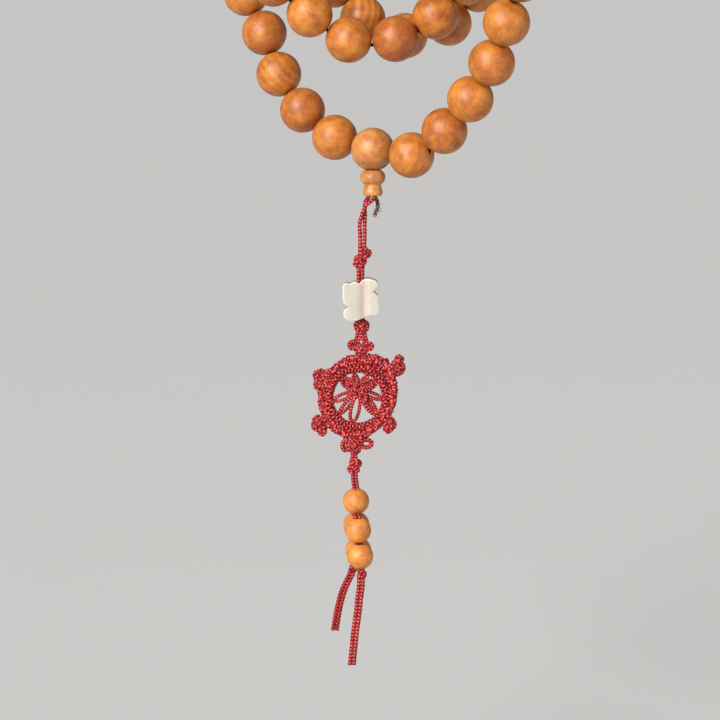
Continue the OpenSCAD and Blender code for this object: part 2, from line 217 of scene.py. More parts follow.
# Braided nylon: crimson, with painted shade (deep crimson) between the yarns and a painted pinkish highlight
# on their crowns
redCordLook = {
    "valley": (0.085, 0.001, 0.003),
    "side": (0.27, 0.004, 0.009),
    "crown": (0.84, 0.120, 0.110),
    "roughness": 0.5,
    "specular": 0.25,
    "sheen": 0.06,
    "sheenRoughness": 0.45,
    "sheenTint": (1.0, 0.62, 0.62),
}
# a darker copy of the red cord for cords at the back and hidden under others: painted shade
shadedCordLook = {**redCordLook, "side": (0.25, 0.004, 0.007), "crown": (0.62, 0.060, 0.050)}


def cordMaterial(name, look):
    material, tree, surface = newMaterial(name)
    yarn = addNode(tree, "Attribute", attribute_name="yarn").outputs["Fac"]
    place = addNode(tree, "TexCoord").outputs["Object"]
    wear = addNode(tree, "TexNoise", {"Vector": place, "Scale": 900.0, "Detail": 3.0}).outputs["Fac"]
    fibre = addNode(tree, "TexNoise", {"Vector": place, "Scale": 6500.0, "Detail": 2.0}).outputs["Fac"]
    height = calculate(tree, "ADD", yarn, mapRange(tree, wear, 0.3, 0.7, -0.16, 0.16))
    height = calculate(tree, "ADD", height, mapRange(tree, fibre, 0.3, 0.7, -0.12, 0.12))
    # painted shade in the valleys between yarns, painted highlight on the yarn crowns
    color = rampBetween(tree, height, ((0.2, look["valley"]), (0.55, look["side"]), (1.0, look["crown"])))
    tree.links.new(color, surface.inputs["Base Color"])
    rough = mapRange(tree, fibre, 0.3, 0.7, look["roughness"] + 0.1, look["roughness"] - 0.1)
    tree.links.new(rough, surface.inputs["Roughness"])
    surface.inputs["Sheen Weight"].default_value = look["sheen"]
    surface.inputs["Specular IOR Level"].default_value = look["specular"]
    surface.inputs["Sheen Roughness"].default_value = look["sheenRoughness"]
    surface.inputs["Sheen Tint"].default_value = (*look["sheenTint"], 1)
    bump = addNode(tree, "Bump", {"Height": fibre, "Strength": 0.3, "Distance": 0.00005})
    tree.links.new(bump.outputs["Normal"], surface.inputs["Normal"])
    return material


# Dark string through the main beads, with its pale melted tip
stringLook = {**redCordLook, "valley": (0.010, 0.006, 0.005), "side": (0.07, 0.032, 0.020),
    "crown": (0.17, 0.085, 0.060), "roughness": 0.7, "sheen": 0.1}
meltedLook = {**redCordLook, "valley": (0.22, 0.14, 0.10), "side": (0.45, 0.33, 0.27),
    "crown": (0.70, 0.58, 0.50), "roughness": 0.35, "sheen": 0.0}

# Frosted stone: the red cords show faintly through it by transmission, helped by a pink band of painted
# light along the bore, and its edges carry a painted highlight
stoneLook = {"pale": (0.60, 0.555, 0.465), "shade": (0.53, 0.47, 0.38), "blush": (0.60, 0.42, 0.365),
    "rim": (0.86, 0.82, 0.73), "roughness": 0.42, "transmission": 0.18, "scatter": 0.45,
    "scatterRadius": (1.0, 0.8, 0.6), "scatterScale": 0.002}


def stoneMaterial(name, look, middle):
    material, tree, surface = newMaterial(name)
    place = addNode(tree, "TexCoord").outputs["Object"]
    local = addNode(tree, "VectorMath", {0: place, 1: tuple(middle)}, operation="SUBTRACT").outputs["Vector"]
    axes = addNode(tree, "SeparateXYZ", {"Vector": local})
    acrossX = calculate(tree, "ABSOLUTE", axes.outputs["X"], 0)
    acrossY = calculate(tree, "ABSOLUTE", axes.outputs["Y"], 0)
    nearest = calculate(tree, "MINIMUM", acrossX, acrossY)
    cloud = addNode(tree, "TexNoise", {"Vector": place, "Scale": 260.0, "Detail": 4.0}).outputs["Fac"]
    frost = addNode(tree, "TexNoise", {"Vector": place, "Scale": 5200.0, "Detail": 2.0}).outputs["Fac"]
    color = mixColors(tree, mapRange(tree, cloud, 0.35, 0.7, 0, 1), look["pale"], look["shade"])
    # pink band painted near the bore: painted light of the cords seen through the stone
    blush = mapRange(tree, nearest, 0.0015, 0.0005, 0, 0.5)
    color = mixColors(tree, blush, color, look["blush"])
    # edges lightened by pointiness: painted highlight along the stone's edges
    pointed = addNode(tree, "NewGeometry").outputs["Pointiness"]
    color = mixColors(tree, mapRange(tree, pointed, 0.51, 0.56, 0, 0.85), color, look["rim"])
    tree.links.new(color, surface.inputs["Base Color"])
    rough = mapRange(tree, frost, 0.3, 0.7, look["roughness"] - 0.07, look["roughness"] + 0.07)
    tree.links.new(rough, surface.inputs["Roughness"])
    surface.inputs["Transmission Weight"].default_value = look["transmission"]
    surface.inputs["Subsurface Weight"].default_value = look["scatter"]
    surface.inputs["Subsurface Radius"].default_value = look["scatterRadius"]
    surface.inputs["Subsurface Scale"].default_value = look["scatterScale"]
    bump = addNode(tree, "Bump", {"Height": frost, "Strength": 0.15, "Distance": 0.00004})
    tree.links.new(bump.outputs["Normal"], surface.inputs["Normal"])
    return material


redCord = cordMaterial("redCord", redCordLook)
backCord = cordMaterial("backCord", shadedCordLook)
darkString = cordMaterial("darkString", stringLook)
meltedTip = cordMaterial("meltedTip", meltedLook)
beadWood = woodMaterial("beadWood", beadWoodLook)
guruWood = woodMaterial("guruWood", guruWoodLook)
smallWood = woodMaterial("smallWood", smallWoodLook)


# Meshes are made from grids of corners, rows by columns
def gridFaces(rows, columns, start, closedRows=False):
    i = np.arange(rows if closedRows else rows - 1)[:, None]
    j = np.arange(columns)[None, :]
    nextI = (i + 1) % rows
    nextJ = (j + 1) % columns
    corners = [i * columns + j, i * columns + nextJ, nextI * columns + nextJ, nextI * columns + j]
    return (np.stack(corners, axis=-1).reshape(-1, 4) + start).tolist()


def addPiece(name, corners, faces, material, floats=None, vectors=None, smooth=True):
    mesh = bpy.data.meshes.new(name)
    mesh.from_pydata(corners.tolist(), [], faces)
    for key, values in (floats or {}).items():
        attribute = mesh.attributes.new(key, "FLOAT", "POINT")
        attribute.data.foreach_set("value", values.astype(np.float32))
    for key, values in (vectors or {}).items():
        attribute = mesh.attributes.new(key, "FLOAT_VECTOR", "POINT")
        attribute.data.foreach_set("vector", values.astype(np.float32).ravel())
    mesh.update()
    if smooth:
        mesh.shade_smooth()
    mesh.materials.append(material)
    piece = bpy.data.objects.new(name, mesh)
    bpy.context.scene.collection.objects.link(piece)
    return piece


# Cord routes
def evenRoute(points, step):
    line = np.array([tuple(p) for p in points], float)
    along = np.concatenate([[0], np.cumsum(np.linalg.norm(np.diff(line, axis=0), axis=1))])
    wanted = np.linspace(0, along[-1], max(int(along[-1] / step), 3) + 1)
    return np.stack([np.interp(wanted, along, line[:, k]) for k in range(3)], axis=1)


def smoothRoute(points, step):
    line = np.array([tuple(p) for p in points], float)
    full = np.concatenate([[2 * line[0] - line[1]], line, [2 * line[-1] - line[-2]]])
    t = np.linspace(0, 1, 10, endpoint=False)[:, None]
    dense = []
    for before, a, b, after in zip(full[:-3], full[1:-2], full[2:-1], full[3:]):
        dense.append(0.5 * (2 * a + (b - before) * t + (2 * before - 5 * a + 4 * b - after) * t ** 2
            + (3 * a - before - 3 * b + after) * t ** 3))
    return evenRoute(np.concatenate(dense + [line[-1:]]), step)


def sectionAxes(line):
    headings = np.gradient(line, axis=0)
    headings /= np.linalg.norm(headings, axis=1)[:, None]
    side = np.cross(headings[0], (0.12, 0.97, 0.21))
    sides = []
    for heading in headings:
        side = side - np.dot(side, heading) * heading
        side /= np.linalg.norm(side)
        sides.append(side)
    sides = np.array(sides)
    return sides, np.cross(headings, sides)


# How high the yarns stand round a cord: a braid of crossing yarns, or twisted plies
def braidHeight(turn, along, look):
    a = (turn - along / look["lay"]) * look["carriers"]
    b = (turn + along / look["lay"]) * look["carriers"]
    acrossA = np.sin(np.pi * (a % 1))
    acrossB = np.sin(np.pi * (b % 1))
    over = (np.floor(a) + np.floor(b)) % 2 < 0.5
    return np.where(over, acrossA * np.sqrt(acrossB), acrossB * np.sqrt(acrossA))


def plyHeight(turn, along, look):
    return np.abs(np.sin(np.pi * (turn * look["carriers"] - along / look["lay"])))


braidLook = {"radius": 0.57, "relief": 0.15, "carriers": 2, "lay": 1.85, "sides": 24, "step": 0.11,
    "height": braidHeight}
thinBraidLook = {**braidLook, "radius": 0.50, "relief": 0.16, "lay": 1.6, "sides": 18, "step": 0.12}
wrapBraidLook = {**braidLook, "radius": 0.40, "relief": 0.12, "lay": 2.4, "sides": 14, "step": 0.13}
plyLook = {**braidLook, "radius": 0.50, "relief": 0.30, "carriers": 3, "lay": 2.0, "height": plyHeight}


def tubeCorners(line, look):
    sides, ups = sectionAxes(line)
    turn = np.arange(look["sides"])[None, :] / look["sides"]
    along = np.concatenate([[0], np.cumsum(np.linalg.norm(np.diff(line, axis=0), axis=1))])
    height = look["height"](turn, along[:, None] / mm, look)
    reach = look["radius"] * mm * (1 - look["relief"] + look["relief"] * height)
    angle = 2 * np.pi * turn
    around = np.cos(angle)[..., None] * sides[:, None] + np.sin(angle)[..., None] * ups[:, None]
    return line[:, None] + reach[..., None] * around, height


# Cords of one piece, with plain balls filling its knots
coreShade = 0.42


def cordPiece(name, lines, material, look, cores=()):
    corners, heights, faces, start = [], [], [], 0
    for line in lines:
        tube, height = tubeCorners(line, look)
        rows, columns = height.shape
        corners.append(tube.reshape(-1, 3))
        heights.append(height.ravel())
        faces += gridFaces(rows, columns, start)
        faces.append(list(range(start + columns - 1, start - 1, -1)))
        faces.append(list(range(start + (rows - 1) * columns, start + rows * columns)))
        start += rows * columns
    for core in cores:
        corners.append(core)
        heights.append(np.full(len(core), coreShade))
        faces += ballFaces(start)
        start += len(core)
    # the yarn height is kept to paint shade between the yarns and highlight on their crowns
    return addPiece(name, np.concatenate(corners), faces, material, {"yarn": np.concatenate(heights)})


# A plain ball that fills the middle of a knot
coreRows, coreColumns = 9, 16


def ballCore(middle, halves):
    polar = np.linspace(0, np.pi, coreRows + 2)[1:-1][:, None]
    angle = np.arange(coreColumns)[None, :] * 2 * np.pi / coreColumns
    across = np.sin(polar)
    ball = np.stack([across * np.cos(angle), across * np.sin(angle), np.cos(polar) + 0 * angle], axis=-1)
    return np.array(middle) + ball.reshape(-1, 3) * np.array(halves) * mm


def ballFaces(start):
    faces = [face[::-1] for face in gridFaces(coreRows, coreColumns, start)]
    last = start + (coreRows - 1) * coreColumns
    faces.append(list(range(start, start + coreColumns)))
    faces.append(list(range(last + coreColumns - 1, last - 1, -1)))
    return faces


def leaned(points, lean):
    return points @ np.array(Matrix.Rotation(math.radians(lean), 3, "Y").transposed())


# A knot's cord goes round a ball, waving up and down and passing over and under itself
weaveLook = {"height": 1.12, "lift": 0.13, "pointsPerLead": 60}


def wovenBall(middle, halves, leads, bights, lean, start):
    t = np.linspace(0, 2 * np.pi, weaveLook["pointsPerLead"] * leads + 1)
    latitude = weaveLook["height"] * np.sin(bights * t + start)
    reach = 1 + weaveLook["lift"] * np.sin(2 * bights * t + start)
    level = np.cos(latitude)
    ball = np.stack([np.cos(leads * t) * level, np.sin(leads * t) * level, np.sin(latitude)], axis=1)
    return np.array(middle) + leaned(ball * reach[:, None] * np.array(halves), lean) * mm


# A knot is one or two woven balls: where, how big, how many turns and waves, and its lean
def knotPiece(name, balls, look, material=redCord):
    lines, cores = [], []
    for place, halves, leads, bights, lean in balls:
        middle = guru + Vector(place) * mm
        inner = [h - look["radius"] for h in halves]
        lines.append(evenRoute(wovenBall(middle, inner, leads, bights, lean, 0.4), look["step"] * mm))
        cores.append(np.array(middle) + leaned(ballCore((0, 0, 0), [h * 0.95 for h in inner]), lean))
    return cordPiece(name, lines, material, look, cores)


# The pendant's two free cords, from the tower down to the second knot
innerTwist = {"radius": 1.05, "turn": 105, "top": -2.6, "drop": 2.3}


def twisted(startAngle):
    route = []
    radius = innerTwist["radius"]
    for k in range(5):
        angle = math.radians(startAngle - innerTwist["turn"] * k / 4)
        height = innerTwist["top"] - innerTwist["drop"] * k
        route.append((radius * math.cos(angle), radius * math.sin(angle), height))
    return route


behindRoute = [twisted(240)[-1], (-1.2, 0.2, -12.6), (-1.9, 0.4, -13.6), (-2.1, 0.5, -14.9),
    (-2.1, 0.5, -15.5), (-2, 0.4, -17), (-2.1, 0.2, -19.5), (-2.1, 0, -22.5), (-2.2, 0, -25.5),
    (-2.4, 0.1, -28.5), (-2.7, 0, -31.5), (-2.7, 0, -34.5), (-2.7, 0, -37.5), (-2.7, 0, -40.5),
    (-2.6, 0, -43.5), (-2.5, 0, -46.6)]
crossingRoute = [twisted(60)[-1], (0.4, -0.8, -12.6), (-0.4, -0.8, -13.4), (-1.4, -0.7, -14.2),
    (-2, -0.55, -14.9), (-2.2, -0.5, -15.5), (-2.8, -0.5, -17), (-3.4, -0.3, -19.5), (-3.3, -0.1, -22.5),
    (-3.3, 0, -25.5), (-3.4, -0.1, -28.5), (-3.7, 0, -31.5), (-3.7, 0, -34.5), (-3.7, 0, -37.5),
    (-3.7, 0, -40.5), (-3.6, 0, -43.5), (-3.5, 0, -46.6)]


def hangingCord(name, route, material, nodes):
    line = smoothRoute(fromGuru(route), braidLook["step"] * mm)
    piece = cordPiece(name, [line], material, braidLook)
    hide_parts(*nodes)
    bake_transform(piece)


for cordName, route in (("behind", behindRoute), ("crossing", crossingRoute)):
    hangingCord(cordName + "Cord", route, redCord, [cordName + "_cord"])

# Two pairs of cords hang from the top small bead, through two beads and a knot each, to their cut ends
frontRoute = [(-4.4, -0.8, -96.65), (-4.2, -2, -96.8), (-4, -3.1, -97.4), (-3.9, -3.5, -98.8),
    (-3.8, -3.6, -101.5), (-3.6, -3.7, -104), (-3.4, -3.8, -106.5), (-3.2, -3.8, -109.5), (-3, -3.8, -112.2),
    (-3.1, -3.8, -113.7), (-3.2, -3.8, -116), (-3.6, -3.8, -119), (-3.9, -3.8, -122), (-4.3, -3.8, -125),
    (-4.7, -3.8, -128), (-5, -3.8, -131), (-5.3, -3.8, -134), (-5.5, -3.8, -136.4)]
backRoute = [(-4.4, 0.8, -96.6), (-4.4, 2, -96.5), (-4.4, 3.15, -96.95), (-4.3, 3.5, -98.4),
    (-4.2, 3.6, -101), (-4.1, 3.7, -103.5), (-3.9, 3.8, -106), (-4, 3.8, -109.7), (-5.2, 3.6, -111.5),
    (-5.7, 3.6, -113.2), (-6.6, 3.6, -115), (-7.7, 3.6, -117.4), (-8.5, 3.6, -120), (-9.2, 3.6, -123),
    (-9.7, 3.6, -126), (-10.1, 3.6, -128.4)]
tails = {
    "front": {"route": frontRoute, "material": redCord,
        "above": (-3, -3.8, -113), "below": (-3.1, -3.8, -114.4),
        "knot": ((-3, -3.8, -112.2), (1.5, 1.4, 1.35), 2, 3, 20)},
    # the back pair wears the darker copy of the red cord: painted shade
    "back": {"route": backRoute, "material": backCord,
        "above": (-5.3, 3.6, -112.2), "below": (-5.8, 3.6, -113.7),
        "knot": ((-5.2, 3.6, -111.5), (1.35, 1.25, 1.2), 2, 3, 20)},
}
knots = {}
for end, look in tails.items():
    knots[end] = knotPiece(end + "Knot", [look["knot"]], thinBraidLook, look["material"])
    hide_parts(end + "_knot")
    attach(knots[end], end + "_strand")

pairGap = 0.53
for side, offset in (("Left", -pairGap), ("Right", pairGap)):
    for end, look in tails.items():
        route = [(x + offset, y, z) for x, y, z in look["route"]]
        nodes = [f"{end}_tail_{side.lower()}_cord"]
        if side == "Left":
            nodes.append(end + "_strand_cords")
        bodies = (end + "_strand", end + "_tail")
        hangingCord(end + "Tail" + side, route, look["material"], nodes)
print("free cords made")


# The red cord doubled over the bead string inside the guru bead
loopRoute = twisted(240)[::-1] + [(-0.5, -0.85, 0.3), (-0.28, -0.5, 1), (0, 0, 1.2), (0.28, 0.5, 1),
    (0.5, 0.85, 0.3)] + twisted(60)
loopLine = smoothRoute(fromGuru(loopRoute), braidLook["step"] * mm)
cordLoop = cordPiece("cordLoop", [loopLine], redCord, braidLook)
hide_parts("cord_loop")
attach(cordLoop, "guru_loop")

# The string's end hangs out behind the red cords: three plies, loose fibres and a melted tip
endRoute = [(-0.3, 0.2, -1.1)] + twisted(150) + [(1, 0.9, -13.2), (1.4, 1, -14.6), (1, 1, -16),
    (0.5, 0.9, -17.4)]
fuzzLook = {"count": 90, "longest": 0.9, "thickness": 0.025, "reachAlong": 0.30}


def addStringEnd():
    line = smoothRoute(fromGuru(endRoute), braidLook["step"] * mm)
    piece = cordPiece("stringEnd", [line], darkString, plyLook)
    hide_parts("string_end")
    hairLook = {**plyLook, "radius": fuzzLook["thickness"], "sides": 4, "relief": 0}
    hairs = []
    for k in range(fuzzLook["count"]):
        root = line[int(len(line) * (1 - fuzzLook["reachAlong"] * chance.random())) - 1]
        out = Vector((chance.gauss(0, 1), chance.gauss(0, 1), chance.gauss(0, 0.6))).normalized()
        bend = Vector((chance.gauss(0, 1), chance.gauss(0, 1), chance.gauss(-0.6, 1))).normalized()
        reach = fuzzLook["longest"] * chance.uniform(0.45, 1)
        hair = [(out * (0.35 + reach * t) + bend * reach * 0.5 * t * t) * mm for t in (0, 0.33, 0.66, 1)]
        hairs.append(np.array([tuple(Vector(root) + p) for p in hair]))
    fuzz = cordPiece("stringFuzz", hairs, darkString, hairLook)
    tip = line[-1]
    tipPiece = cordPiece("meltedTip", [], meltedTip, plyLook, [ballCore(tip, (0.50, 0.50, 0.42))])
    for made in (piece, fuzz, tipPiece):
        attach(made, "guru_loop")


addStringEnd()
for node in ("draped_string", "guru_loop_string"):
    mesh = frame["nodes"][node].data
    mesh.materials.clear()
    mesh.materials.append(darkString)


# Knots above and below the stone
pendantKnots = {
    "firstKnot": {"node": "knot_1", "body": "pendant", "balls": [
        ((-2.1, -0.1, -27.3), (1.8, 1.65, 1.8), 3, 4, 40),
        ((-3.45, 0.1, -29.5), (1.9, 1.7, 1.9), 3, 4, 25)]},
    "secondKnot": {"node": "knot_2", "body": "pendant", "balls": [
        ((-3, 0, -46.4), (2.3, 1.9, 1.75), 4, 5, 10)]},
    "thirdKnot": {"node": "knot_3", "body": "lower_cord", "balls": [
        ((-4.6, 0, -82.9), (1.9, 1.75, 1.5), 3, 4, 35),
        ((-5.0, 0.1, -84.5), (1.9, 1.75, 1.5), 3, 4, -25)]},
}
for name, look in pendantKnots.items():
    knot = knotPiece(name, look["balls"], thinBraidLook)
    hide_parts(look["node"])
    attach(knot, look["body"])

# Doubled cords from the second knot spread into the knot above the wheel
linkRoute = [(0.45, 0, -47.4), (0.75, 0, -49.3), (1.45, 0, -51.6)]
linkLook = {"middle": -3.05, "gap": 0.42, "above": (-3, 0, -47.9), "below": (-3, 0, -49.2)}


def addLinkCords():
    lines = []
    for side in (-1, 1):
        for offset in (-linkLook["gap"], linkLook["gap"]):
            start = linkLook["middle"] + offset
            route = [(start + side * x, y + 0.25 * offset * side, z) for x, y, z in linkRoute]
            lines.append(smoothRoute(fromGuru(route), thinBraidLook["step"] * mm))
    piece = cordPiece("linkCords", lines, redCord, thinBraidLook)
    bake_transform(piece)


addLinkCords()

# Four cords run from the wheel through the third knot into the top small bead
lowerRoute = [(-4.9, 0, -79.4), (-4.9, 0, -81.05), (-4.9, 0, -82.8), (-4.9, 0, -84.8), (-4.7, 0, -87.8),
    (-4.4, 0, -90.1), (-4.4, 0, -93.1), (-4.4, 0, -96)]
bundleLook = {"gap": 0.46, "above": (-4.9, 0, -79.9), "below": (-4.9, 0, -81.7)}


def addLowerCords():
    lines = []
    for x in (-bundleLook["gap"], bundleLook["gap"]):
        for y in (-bundleLook["gap"], bundleLook["gap"]):
            route = fromGuru([(p + x, q + y, r) for p, q, r in lowerRoute])
            lines.append(smoothRoute(route, thinBraidLook["step"] * mm))
    piece = cordPiece("lowerCords", lines, redCord, thinBraidLook)
    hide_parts("lower_cords")
    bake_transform(piece)


addLowerCords()

# The wheel: everything on it is measured from its middle, across and up
wheelMiddle = guru + Vector((-4, 0, -65.5)) * mm


def onWheel(points):
    return [wheelMiddle + Vector(p) * mm for p in points]


def wheelPiece(name, lines, look, nodes, cores=(), material=redCord):
    piece = cordPiece(name, lines, material, look, cores)
    if nodes:
        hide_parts(*nodes)
    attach(piece, "wheel")


# The rim: one cord wound closely round a ring of hidden ones
coreLook = {**wrapBraidLook, "radius": 0.72, "relief": 0.05, "step": 0.4}
rimLook = {"radius": 7.6, "halfThick": 0.96, "wraps": 56, "perWrap": 14, "tall": 1.04, "wobble": 0.07}


def addRim():
    wrapCount = rimLook["wraps"]
    tall = rimLook["tall"]
    wobbles = [chance.uniform(-1, 1) * rimLook["wobble"] for k in range(wrapCount + 1)]
    points = []
    for i in range(wrapCount * rimLook["perWrap"] + 1):
        turn = i / rimLook["perWrap"]
        angle = 2 * math.pi * turn / wrapCount
        wrap = 2 * math.pi * turn
        k = int(turn)
        wobble = wobbles[k] * (1 - turn + k) + wobbles[min(k + 1, wrapCount)] * (turn - k)
        thick = rimLook["halfThick"] * (1 + wobble)
        reach = rimLook["radius"] + thick * math.cos(wrap)
        points.append((reach * math.cos(angle), thick * math.sin(wrap), reach * tall * math.sin(angle)))
    wraps = evenRoute(smoothRoute(onWheel(points), 0.08 * mm), wrapBraidLook["step"] * mm)
    radius = rimLook["radius"]
    core = [(radius * math.cos(a), 0, radius * tall * math.sin(a)) for a in np.linspace(0, 2 * math.pi, 73)]
    wheelPiece("rimWraps", [wraps], wrapBraidLook, ["wheel_rim"])
    # the hidden core wears the darker copy of the red cord: painted shade between the wraps
    wheelPiece("rimCore", [evenRoute(onWheel(core), coreLook["step"] * mm)], coreLook, [], material=backCord)


addRim()

# The lace: four cords drawn round the rim in six sides, hitched to it all the way, over hidden ones
laceEdge = [(-2.2, 11.3), (-4.4, 10.1), (-6.4, 8.4), (-8.4, 7.0), (-9.6, 3.6), (-9.9, 1.9), (-10.3, 0.2),
    (-10.3, -2.4), (-9.6, -4.2), (-8.6, -7.2), (-7.2, -8.4), (-5.5, -9.7), (-3.3, -10.6), (-0.8, -11.0),
    (1.6, -11.0), (3.1, -10.2), (4.6, -9.0), (6.0, -7.8), (8.0, -5.6), (9.2, -3.3), (10.1, -1.6),
    (10.4, 0.2), (10.6, 2.4), (10.4, 4.0), (9.6, 7.0), (8.6, 9.2), (6.8, 10.6), (4.6, 11.5), (2.4, 11.5),
    (0.2, 11.4)]
laceLook = {"hitches": 46, "inner": 8.5, "halfDeep": 0.95, "spread": 0.76, "picot": 0.5, "skew": 0.7}
# the four cords: how far in from the edge, how far forward, and how fast they wave
laceRunners = [(0.45, -0.45, 0.9), (1.25, -0.5, 1.3), (0.6, 0.5, 1.1), (2.0, -0.3, 0.7)]
laceFill = (0.3, 0.68)  # where the hidden cords lie, as shares of the band


def addLace():
    edge = laceEdge + laceEdge[:1]
    outer = smoothRoute([(x, 0, z) for x, z in edge], 0.35)
    reach = np.linalg.norm(outer, axis=1)[:, None]
    runners, hitches, fills = [], [], []
    for inset, depth, pace in laceRunners:
        wave = np.array([[0, 1, 0]]) * (depth + 0.35 * np.cos(np.arange(len(outer)) * pace))[:, None]
        route = onWheel(outer * (1 - inset / reach) + wave)
        runners.append(smoothRoute(route, thinBraidLook["step"] * mm))
    for k in range(laceLook["hitches"]):
        at = (k + chance.uniform(-0.16, 0.16)) / laceLook["hitches"] * len(outer)
        tip = outer[int(at) % len(outer)]
        away = tip / np.linalg.norm(tip)
        beside = np.array((-away[2], 0, away[0]))
        outerReach = np.linalg.norm(tip) - 0.3 + laceLook["picot"] * chance.random() * (k % 2)
        innerReach = laceLook["inner"] if k % 3 == 0 else outerReach - chance.uniform(1.3, 1.8)
        half = (outerReach - innerReach) / 2
        middle = away * (innerReach + half)
        for strand in (-0.5, 0.5):
            skew = laceLook["skew"] * chance.uniform(-1, 1)
            loop = []
            for a in np.linspace(0.3, 2 * math.pi + 0.5, 18):
                drift = strand * laceLook["spread"] + skew * math.cos(a) * 0.5
                loop.append(middle + away * half * math.cos(a) + beside * drift
                    + np.array((0, laceLook["halfDeep"] * math.sin(a), 0)))
            hitches.append(smoothRoute(onWheel(loop), wrapBraidLook["step"] * mm))
    wheelPiece("wheelLace", runners, thinBraidLook, ["wheel_lace"])
    wheelPiece("laceHitches", hitches, wrapBraidLook, [])
    for share in laceFill:
        route = outer * (laceLook["inner"] + share * (reach - laceLook["inner"])) / reach
        fills.append(smoothRoute(onWheel(route), coreLook["step"] * mm))
    # the hidden cords wear the darker copy of the red cord: painted shade between the hitches
    wheelPiece("laceCore", fills, coreLook, [], material=backCord)


addLace()

# Ball knots at the wheel's corners, each with a smaller lobe beside it
sideKnots = [
    {"at": (10.5, 7.9), "halves": (2.2, 1.9, 2.2), "lobe": (0.5, 2.3), "lobeHalf": 1.35, "lean": 30},
    {"at": (-9.9, 5.7), "halves": (2.1, 1.9, 1.95), "lobe": (-0.6, -2.4), "lobeHalf": 1.35, "lean": -20},
    {"at": (-10.2, -6.9), "halves": (2.3, 2.0, 2.3), "lobe": (0.9, -2.0), "lobeHalf": 1.4, "lean": 15},
    {"at": (8.4, -6.9), "halves": (1.9, 1.8, 2.1), "lobe": (-0.3, -1.3), "lobeHalf": 1.4, "lean": -35},
]


def addSideKnots():
    lines, cores = [], []
    for k, look in enumerate(sideKnots):
        x, z = look["at"]
        lobe = (x + look["lobe"][0], -0.2, z + look["lobe"][1])
        balls = [((x, 0, z), look["halves"], 4, 5), (lobe, (look["lobeHalf"],) * 3, 3, 4)]
        for middle, halves, leads, bights in balls:
            middle = onWheel([middle])[0]
            inner = [h - wrapBraidLook["radius"] for h in halves]
            line = wovenBall(middle, inner, leads, bights, look["lean"], k)
            lines.append(evenRoute(line, wrapBraidLook["step"] * mm))
            cores.append(ballCore(middle, [h * 0.97 for h in inner]))
    wheelPiece("sideKnots", lines, wrapBraidLook, ["wheel_side_knots"], cores)


addSideKnots()

# Knots with two ears, above and below the wheel
earLook = {**thinBraidLook, "radius": 0.56, "turns": 2.1, "depth": 0.8}


def earLoop(middle, halves, tilt, inward):
    points = []
    for turn in np.linspace(0, earLook["turns"], 44):
        a = 2 * math.pi * turn + tilt
        reach = 1 - inward * turn / 2
        y = earLook["depth"] * (turn / 2 - 0.5)
        x = halves[0] * reach * math.cos(a)
        z = halves[1] * reach * math.sin(a)
        points.append(Vector(middle) + Vector((x, y, z)))
    return smoothRoute(onWheel(points), earLook["step"] * mm)


earKnots = {
    "upperEarKnot": {"node": "upper_ear_knot", "body": (0.9, 0, 12.75), "halves": (1.9, 1.7, 1.7), "lean": 0,
        "ears": [((-1.35, 0, 13.9), (0.95, 1.10), 0.4, 0.55), ((3.0, 0, 13.7), (1.10, 1.0), 2.4, 0.6)]},
    "lowerEarKnot": {"node": "lower_ear_knot",
        "body": (-0.7, 0, -12.8), "halves": (2.2, 1.8, 2.2), "lean": 25,
        "ears": [((-3.1, 0, -12.8), (1.15, 1.6), 0.2, 0.55), ((2.3, 0, -12.2), (1.65, 1.15), 2.6, 0.3)]},
}
for name, look in earKnots.items():
    middle = onWheel([look["body"]])[0]
    inner = [h - thinBraidLook["radius"] for h in look["halves"]]
    lines = [evenRoute(wovenBall(middle, inner, 4, 5, look["lean"], 0.6), thinBraidLook["step"] * mm)]
    lines += [earLoop(*ear) for ear in look["ears"]]
    wheelPiece(name, lines, earLook, [look["node"]], [ballCore(middle, [h * 0.95 for h in inner])])

# The flower knot inside: a small ball with long loops tied out to the rim
flowerLook = {**thinBraidLook, "radius": 0.53, "middle": (0.4, -0.2, 2.0), "halves": (2.35, 1.5, 2.0)}
petals = [
    {"toward": 66, "reach": 6.2, "halfWide": 0.60, "deep": 0.4, "doubled": False},
    {"toward": 41, "reach": 6.5, "halfWide": 0.95, "deep": -0.5, "doubled": True},
    {"toward": 357, "reach": 6.3, "halfWide": 0.60, "deep": 0.2, "doubled": False},
    {"toward": 318, "reach": 6.5, "halfWide": 1.00, "deep": -0.3, "doubled": True},
    {"toward": 258, "reach": 6.5, "halfWide": 1.10, "deep": -0.9, "doubled": False},
    {"toward": 222, "reach": 6.4, "halfWide": 0.65, "deep": 0.1, "doubled": False},
    {"toward": 187, "reach": 6.4, "halfWide": 0.75, "deep": -0.4, "doubled": False},
    {"toward": 130, "reach": 6.3, "halfWide": 1.20, "deep": 0.2, "doubled": True},
    {"toward": 98, "reach": 6.3, "halfWide": 0.55, "deep": 0.6, "doubled": False},
]
petalShape = [(0.05, -0.35), (0.3, -0.75), (0.62, -1), (0.88, -0.72), (1.0, 0), (0.88, 0.72), (0.62, 1),
    (0.3, 0.75), (0.05, 0.35)]
# small closed loops in front: middle, half sizes, where each starts and how far it winds in
flowerLoops = [((-1.6, -1.0, 3.0), (1.35, 1.0), 0.3, 0.5), ((2.7, -1.0, 3.7), (1.5, 1.05), 1.2, 0.55),
    ((1.5, -1.0, 0.3), (1.0, 1.35), 2.0, 0.45), ((-1.2, -0.9, 0.6), (1.2, 0.8), 0.8, 0.5)]


def petalLine(look, halfWide, behind):
    start = Vector(flowerLook["middle"])
    angle = math.radians(look["toward"])
    tip = Vector((look["reach"] * math.cos(angle), 0, look["reach"] * math.sin(angle)))
    out = tip - start
    across = Vector((-out.z, 0, out.x)).normalized()
    points = []
    for t, wide in petalShape:
        bow = look["deep"] * math.sin(math.pi * t) + 0.25 * wide
        points.append(start + out * t + across * wide * halfWide + Vector((0, bow + behind, 0)))
    return smoothRoute(onWheel(points), flowerLook["step"] * mm)


